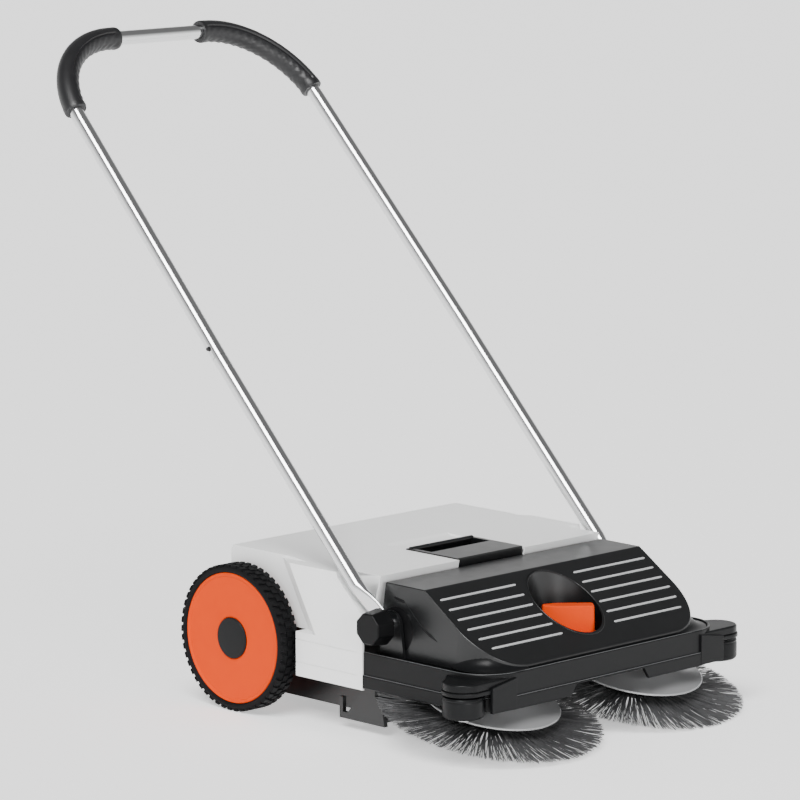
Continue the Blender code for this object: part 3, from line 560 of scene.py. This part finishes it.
def grip_insert():
    """The black insert: a flat panel, a deep slot and a rolled edge behind it."""
    y = AXLE_Y
    panel = rounded(block((-0.0595, y - 0.2260, 0.1990), (0.0595, y - 0.1336, 0.2045)), 1.0 * MM, 2)
    tub = block((-0.0570, y - 0.1700, 0.1700), (0.0570, y - 0.1342, 0.2000))
    lip = block((-0.0585, y - 0.2258, 0.1885), (0.0585, y - 0.2230, 0.2000))
    insert = joined(panel, tub, lip)
    insert = cut(insert, block((-0.0530, y - 0.1660, 0.1725), (0.0530, y - 0.1400, 0.2200)))
    insert = cut(insert, prism([(y - 0.1750, 0.2060), (y - 0.1650, 0.2060), (y - 0.1650, 0.1960)],
                               -0.0530, 0.0530, "YZ"))
    roll = rod((-0.0560, y - 0.1388, 0.2030), (0.0560, y - 0.1388, 0.2030), 3.6 * MM, sides=32)
    insert = joined(insert, roll)
    shown(insert, "hood_grip_insert", BLACK, "hopper", ["grip_insert"], 30.0)


# Wheels

def wheel(label, side):
    centre, axis = (0.0, AXLE_Y, AXLE_Z), (side, 0.0, 0.0)
    body = f"wheel_{label}"
    tyre = [
        (84.2, 212.0), (88.0, 210.6), (91.6, 211.2), (92.6, 213.0), (92.8, 225.0), (92.6, 237.0),
        (91.4, 239.2), (88.0, 240.2), (85.6, 239.6), (84.2, 238.0)]
    base = turned([(r * MM, h * MM) for r, h in tyre], centre, axis, 144, True)
    shown(base, f"tyre_{label}", TYRE, body, [f"wheel_{label}_tyre"], 35.0)
    lugs = bmesh.new()
    count = 50
    for row, (low, high) in enumerate(((0.2106, 0.2200), (0.2206, 0.2296), (0.2302, 0.2398))):
        for i in range(count):
            a = math.tau * (i + (0.5 if row == 1 else 0.0)) / count
            half, skew = 0.0365 * math.tau / count / 0.1083, (0.014, 0.0, -0.014)[row]
            corners = []
            for x, tilt in ((low, -skew), (high, skew)):
                for b, r in ((-half, 0.0920), (half, 0.0920), (half * 0.86, 0.0946), (-half * 0.86, 0.0946)):
                    painted_highlight = 0.0006 if r > 0.093 else 0.0
                    away = x + (painted_highlight if x == low else -painted_highlight)
                    spot = Vector((side * away, r * math.cos(a + b + tilt), r * math.sin(a + b + tilt)))
                    corners.append(lugs.verts.new(spot + Vector(centre)))
            n, f = corners[:4], corners[4:]
            for quad in ((n[0], n[1], n[2], n[3]), (f[0], f[1], f[2], f[3]), (n[0], n[1], f[1], f[0]),
                         (n[1], n[2], f[2], f[1]), (n[2], n[3], f[3], f[2]), (n[3], n[0], f[0], f[3])):
                lugs.faces.new(quad)
    shown(from_bmesh("lugs", lugs), f"tread_{label}", TYRE, body)
    disc = [
        (8.3, 188.8), (15.0, 188.8), (15.0, 229.5), (76.0, 231.0), (79.0, 229.5), (79.0, 214.0),
        (83.9, 214.0), (83.9, 238.2), (82.6, 239.3), (80.4, 239.2), (79.2, 238.0), (78.0, 237.6),
        (30.0, 237.2), (27.5, 237.4), (26.8, 236.4), (14.0, 236.4), (14.0, 232.5), (8.3, 232.5)]
    plate = turned([(r * MM, h * MM) for r, h in disc], centre, axis, 144, True)
    shown(plate, f"disc_{label}", ORANGE, body, [f"wheel_{label}_disc"], 30.0)
    cap = [(0.0, 236.6), (26.0, 236.6), (26.4, 238.2), (25.6, 239.4), (24.6, 240.0), (10.0, 240.3),
           (0.0, 240.3)]
    hub = turned([(r * MM, h * MM) for r, h in cap], centre, axis, 96)
    shown(hub, f"hub_cap_{label}", CAP, body, [f"wheel_{label}_cap"], 30.0)


# Brushes

def brush(label, side):
    centre = Vector((side * 0.1316, AXLE_Y - 0.3527, 0.0311))
    shaft = Vector((0.0, -math.sin(BRUSH_TILT), math.cos(BRUSH_TILT)))
    aside, ahead = Vector((1, 0, 0)), Vector((0, math.cos(BRUSH_TILT), math.sin(BRUSH_TILT)))
    body = f"brush_{label}"
    dice = random.Random(17 + int(side))
    verts, faces = [], []
    reach = 0.1185
    tip_low, tip_high = (3.9, 6.0) if side < 0 else (0.3, 2.3)
    for tuft in range(76):
        middle = math.tau * tuft / 76
        for _ in range(17):
            a0 = middle + dice.uniform(-0.028, 0.028)
            a1 = middle + dice.gauss(0.0, 0.040) + 0.03
            h0 = dice.uniform(1.5, 8.5) * MM
            h1 = dice.uniform(tip_low, tip_high) * MM
            length = BRUSH_R - abs(dice.gauss(0.0, 0.0046)) - dice.uniform(0.0, 0.0015)
            thick = dice.uniform(0.50, 0.82) * MM
            bend = min((reach - 0.0450) / (length - 0.0450), 0.92)
            spots = []
            for share in (0.0, 0.35, bend, 1.0):
                r = 0.0450 + (length - 0.0450) * share
                a = a0 + (a1 - a0) * share
                h = h0 + (h1 - h0) * share
                if share < bend:
                    h += 1.2 * MM * math.sin(math.pi * share)
                else:
                    h = min(max(h, tip_low * MM), tip_high * MM)
                spots.append(centre + aside * (r * math.cos(a)) + ahead * (r * math.sin(a)) + shaft * h)
            start = len(verts)
            across_ray = (aside * -math.sin(a0) + ahead * math.cos(a0))
            for k, spot in enumerate(spots):
                size = thick * (1.0, 1.0, 0.6, 0.5)[k]
                for b in (0.5236, 2.618, 4.7124):
                    verts.append(spot + (across_ray * math.cos(b) + shaft * math.sin(b)) * size)
            for k in range(3):
                for i in range(3):
                    j = (i + 1) % 3
                    p = start + 3 * k
                    faces.append((p + i, p + j, p + 3 + j, p + 3 + i))
            faces.append((start + 2, start + 1, start))
            faces.append((start + 9, start + 10, start + 11))
    mesh = bpy.data.meshes.new("bristles")
    mesh.from_pydata(verts, [], faces)
    mesh.update()
    tufts = link(bpy.data.objects.new("bristles", mesh))
    shown(tufts, f"bristles_{label}", BRISTLE, body, [f"brush_{label}_bristles"], 60.0)
    flare = [
        (84.6, 21.4), (85.3, 22.0), (85.3, 23.6), (84.6, 24.2), (80.0, 24.9), (72.0, 26.2),
        (62.0, 28.6), (52.0, 32.0), (42.0, 36.8), (34.0, 42.0), (28.0, 47.2), (23.4, 50.2),
        (10.5, 50.2), (10.5, 48.0), (22.4, 48.0), (27.0, 44.8), (33.0, 39.6), (41.0, 34.4),
        (51.4, 29.5), (61.6, 26.1), (72.0, 23.6), (80.0, 22.2)]
    dish = turned([(r * MM, h * MM) for r, h in flare], centre, shaft, 96, True)
    shown(dish, f"dish_{label}", DISH, body, [f"brush_{label}_dish"], 30.0)


# Handle

def on_handle(x, along, out=0.0):
    return PIVOT + Vector((x, 0.0, 0.0)) + UP_HANDLE * along + OFF_HANDLE * out


def leg_x(along):
    lean = (HANDLE_X - LEG_TOP_X) / (TOP_AT - BEND_R - SEAM_AT)
    return HANDLE_X - lean * (along - SEAM_AT)


def loop_route(from_along, to_x, steps=16, straight=1):
    """The bow's centre line on the right, from a height on the leg to a place across."""
    base = TOP_AT - BEND_R
    rise = max(0.0, from_along - base)
    leg = []
    for i in range(0 if rise else straight):
        along = from_along + (base - from_along) * i / straight
        leg.append((leg_x(along), along))
    start = math.degrees(math.asin(rise / BEND_R))
    bend = arc(LEG_TOP_X - BEND_R, base, BEND_R, start, 90, steps)
    span = LEG_TOP_X - BEND_R - to_x
    bar = [(LEG_TOP_X - BEND_R - span * (i + 1) / straight, TOP_AT) for i in range(straight)]
    return leg + bend + bar


def button_hole(side):
    at = on_handle(side * HANDLE_X, SEAM_AT + BUTTON_UP)
    return rod(at, at + Vector((side * 0.02, 0, 0)), 3.35 * MM, sides=24)


def upper_tube():
    right = loop_route(SEAM_AT + 0.3 * MM, 0.0)[:-1]
    left = [(-x, s) for x, s in reversed(right)]
    route = [on_handle(x, s) for x, s in right + left]
    tube = swept(route, lambda k, s, a: TUBE_R, OFF_HANDLE, 32, 8.35 * MM)
    tube = cut(tube, button_hole(1.0), button_hole(-1.0))
    shown(tube, "bow_tube", CHROME, "handle", ["upper_tube"], 35.0)


def lower_tube(label, side):
    """A straight tube that flattens into an eye at the pivot."""
    spots = [(0.0, 0.0, 2.0, 12.0), (0.010, 0.0, 2.0, 12.0), (0.018, 0.0, 2.2, 12.0),
             (0.028, 0.1, 3.2, 11.7), (0.038, 0.35, 5.2, 11.0), (0.050, 0.75, 8.0, 10.0),
             (0.062, 1.0, 9.5, 9.5), (SEAM_AT, 1.0, 9.5, 9.5)]
    rings = []
    for along, share, thin, wide in spots:
        middle = on_handle(side * (0.2140 + 0.0060 * share), along)
        ring = []
        for i in range(32):
            a = math.tau * i / 32
            ring.append(middle + Vector((side, 0, 0)) * (thin * MM * math.cos(a))
                        + OFF_HANDLE * (wide * MM * math.sin(a)))
        rings.append(ring)
    leg = loft(rings)
    eye = rod((side * 0.2120, PIVOT.y, PIVOT.z), (side * 0.2160, PIVOT.y, PIVOT.z), 0.0120, sides=48)
    leg = joined(leg, rounded(eye, 0.6 * MM, 2))
    pin = rod(on_handle(side * leg_x(SEAM_AT), SEAM_AT - 0.002),
              on_handle(side * leg_x(SEAM_AT + 0.04), SEAM_AT + 0.0400), 7.9 * MM, sides=32)
    leg = joined(leg, pin)
    bore = rod(on_handle(side * leg_x(SEAM_AT), SEAM_AT - 0.001),
               on_handle(side * leg_x(SEAM_AT + 0.05), SEAM_AT + 0.0500), 6.7 * MM, sides=32)
    leg = cut(leg, bore, button_hole(side))
    leg = cut(leg, rod((side * 0.20, PIVOT.y, PIVOT.z), (side * 0.23, PIVOT.y, PIVOT.z), 4.3 * MM))
    shown(leg, f"leg_tube_{label}", CHROME, "handle", [f"lower_tube_{label}"], 35.0)


def grip(label, side):
    """A moulded grip: smooth outer shell, a groove each side, and a knobbly inner face."""
    path = loop_route(0.8260, 0.0750, 56, 4)
    route = [on_handle(side * x, s) for x, s in path]
    total = len(route) - 1
    outward = 0.0 if side > 0 else math.pi

    def radius(k, share, a):
        turn = abs((a - outward + math.pi) % math.tau - math.pi)
        size = 15.2 if turn < 1.65 else 14.4
        if 1.60 < turn < 1.82:
            size = 13.3
        if turn > 1.9 and 3 < k < total - 3:
            knobs = 0.75 * math.sin(k * 1.6) * math.sin(turn * 6.0)
            size += knobs + (0.5 if k % 4 < 2 else -0.5) * (turn > 2.8)
        if k in (0, total):
            size = 14.6
        elif k in (1, 2, total - 1, total - 2):
            size = max(size, 15.3)
        return size * MM

    sleeve = swept(route, radius, OFF_HANDLE, 72, TUBE_R + 0.3 * MM)
    shown(sleeve, f"grip_sleeve_{label}", GRIP, "handle", [f"grip_{label}"], 50.0)


# Small pieces

def clamp_knob(label, side):
    y, z = PIVOT.y, PIVOT.z
    knob = rod((side * 0.2185, y, z), (side * 0.2450, y, z), 0.0240, 0.0208, 8)
    knob.data.transform(Matrix.Translation((0, y, z)) @ Matrix.Rotation(math.radians(22.5), 4, "X")
                        @ Matrix.Translation((0, -y, -z)))
    knob = rounded(knob, 2.0 * MM, 3, 20.0)
    knob = cut(knob, rod((side * 0.21, y, z), (side * 0.2340, y, z), 4.3 * MM))
    shown(knob, f"knob_{label}", KNOB, f"clamp_knob_{label}",
          [f"clamp_knob_{label}"], 24.0)


def height_knob():
    base, top = 0.1165, 0.1225
    disc = rounded(rod((0, KNOB_Y, base), (0, KNOB_Y, top), 0.0400, 0.0385, 72), 1.0 * MM, 2)
    outline = [(-0.0130, -0.0115), (0.0330, -0.0115), (0.0360, -0.0085), (0.0360, 0.0085),
               (0.0330, 0.0115), (-0.0130, 0.0115), (-0.0300, 0.0040), (-0.0300, -0.0040)]
    upper = [(x * 0.98, y * 0.92) for x, y in outline]
    bar = loft([[(x, y, top - MM) for x, y in outline], [(x, y, 0.1565) for x, y in upper]])
    bar.data.transform(Matrix.Translation((0, KNOB_Y, 0)) @ Matrix.Rotation(math.radians(-42), 4, "Z"))
    knob = joined(disc, rounded(bar, 1.8 * MM, 3, 25.0))
    knob = cut(knob, rod((0, KNOB_Y, 0.10), (0, KNOB_Y, 0.1400), 5.3 * MM))
    shown(knob, "setting_knob", ORANGE, "height_adjuster", ["height_knob"], 30.0)


def dress_cad():
    """Gives every CAD node the finish of its material slot."""
    slots = {part["node"]: part["material_slot"] for part in frame["record"]["subparts"]}
    for name, node in frame["nodes"].items():
        node.data.materials.clear()
        node.data.materials.append(SLOT_FINISH[slots[name]])


# Camera, floor and light

def camera():
    lens = bpy.data.cameras.new("camera")
    lens.lens = 201.0
    lens.sensor_width = 36.0
    lens.clip_start, lens.clip_end = 0.5, 200.0
    eye = link(bpy.data.objects.new("camera", lens))
    eye.location = (-4.0051, -4.0805 + AXLE_Y, 1.3191)
    eye.rotation_euler = (math.radians(90.0 - 9.392), 0.0, math.radians(-44.917))
    bpy.context.scene.camera = eye


def floor():
    plane = prism([(-40, -40), (40, -40), (40, 40), (-40, 40)], -0.02, -0.0002)
    plane.name = "floor"
    finish = grained("pale_floor", (0.90, 0.90, 0.90), (0.915, 0.915, 0.915), 0.75, scale=0.6)
    shader = finish.node_tree.nodes["Principled BSDF"]
    shader.inputs["Emission Color"].default_value = (1.0, 1.0, 1.0, 1.0)
    shader.inputs["Emission Strength"].default_value = 0.6
    plane.data.materials.append(finish)


def area_light(name, place, target, size, power, size_y=None):
    lamp = bpy.data.lights.new(name, "AREA")
    lamp.shape = "RECTANGLE"
    lamp.size, lamp.size_y = size, size_y or size
    lamp.energy = power
    obj = link(bpy.data.objects.new(name, lamp))
    obj.location = place
    obj.rotation_euler = (Vector(target) - Vector(place)).to_track_quat("-Z", "Y").to_euler()
    return obj


def lights():
    world = bpy.data.worlds.new("studio")
    bpy.context.scene.world = world
    world.use_nodes = True
    nodes, links = world.node_tree.nodes, world.node_tree.links
    sky = nodes["Background"]
    place = nodes.new("ShaderNodeTexCoord")
    split = nodes.new("ShaderNodeSeparateXYZ")
    links.new(place.outputs["Generated"], split.inputs["Vector"])
    ramp = nodes.new("ShaderNodeValToRGB")
    ramp.color_ramp.elements[0].position = 0.02
    ramp.color_ramp.elements[0].color = (1.0, 1.0, 1.0, 1.0)
    ramp.color_ramp.elements[1].position = 0.55
    ramp.color_ramp.elements[1].color = (0.14, 0.14, 0.14, 1.0)
    links.new(split.outputs["Z"], ramp.inputs["Fac"])
    links.new(ramp.outputs["Color"], sky.inputs["Color"])
    sky.inputs["Strength"].default_value = 1.5
    sun = bpy.data.lights.new("sun", "SUN")
    sun.energy = 4.2
    sun.angle = math.radians(35.0)
    key = link(bpy.data.objects.new("sun", sun))
    key.rotation_euler = Vector((0.55, 0.30, -0.80)).to_track_quat("-Z", "Y").to_euler()
    area_light("low_fill", (-1.0, -2.6, 0.70), (0.0, -0.35, 0.05), 1.0, 24.0, 0.3)


front_cover()
bowl_rim()
cover_ribs()
cover_side_marks()
cover_skirt()
front_apron()
hopper_hood()
grip_insert()
upper_tube()
height_knob()
for label, side in SIDES:
    guide_roller(label, side)
    wheel(label, side)
    brush(label, side)
    lower_tube(label, side)
    grip(label, side)
    clamp_knob(label, side)
dress_cad()
camera()
floor()
lights()
